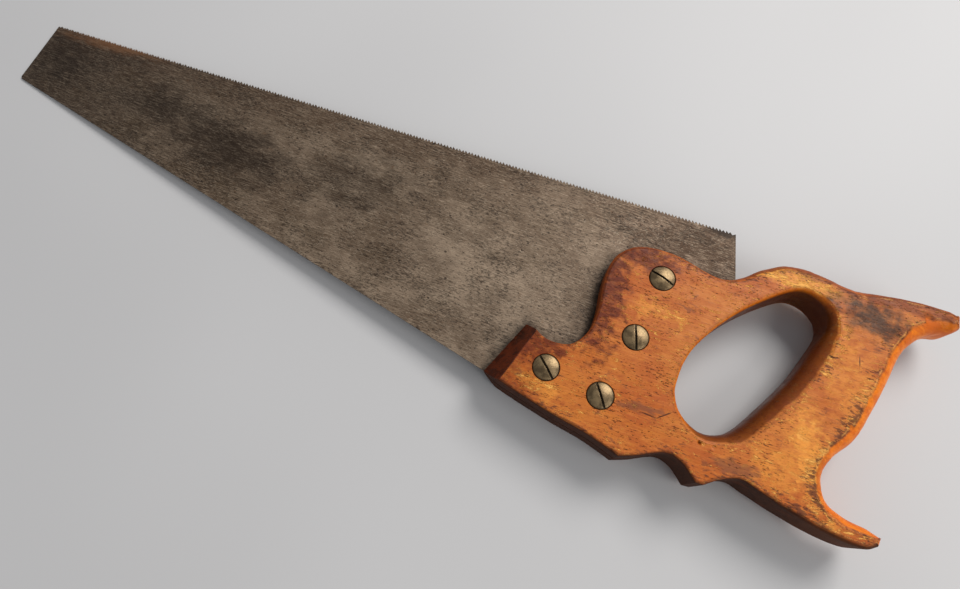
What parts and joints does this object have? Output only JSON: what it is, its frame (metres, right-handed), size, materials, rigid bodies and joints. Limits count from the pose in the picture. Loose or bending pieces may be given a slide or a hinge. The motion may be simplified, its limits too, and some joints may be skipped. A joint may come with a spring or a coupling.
{
  "type": "hand saw",
  "caption": "Panel hand saw: tapered toothed steel plate in a closed wooden handle, held by four slotted brass saw nuts.",
  "frame": {"origin": "under the middle of the saw's outer box, at the level of the lowest bolt head, with the saw lying on the side with the plain bolt heads", "axes": "+X along the tooth line from heel to toe, +Y from the teeth towards the back of the plate, +Z out of the side with the slotted nuts"},
  "size_m": [0.5158, 0.1321, 0.0244],
  "materials": {
    "plate_steel": "dark grey-brown patina with fine lengthwise scratches",
    "handle_wood": "worn orange-brown varnish",
    "bolt_brass": "aged brass",
    "nut_brass": "aged brass"
  },
  "bodies": {
    "root": {"saw_plate": "plate_steel", "handle": "handle_wood", "saw_bolt_1": "bolt_brass", "saw_bolt_2": "bolt_brass", "saw_bolt_3": "bolt_brass", "saw_bolt_4": "bolt_brass", "saw_nut_1": "nut_brass", "saw_nut_2": "nut_brass", "saw_nut_3": "nut_brass", "saw_nut_4": "nut_brass"}
  },
  "joints": []
}
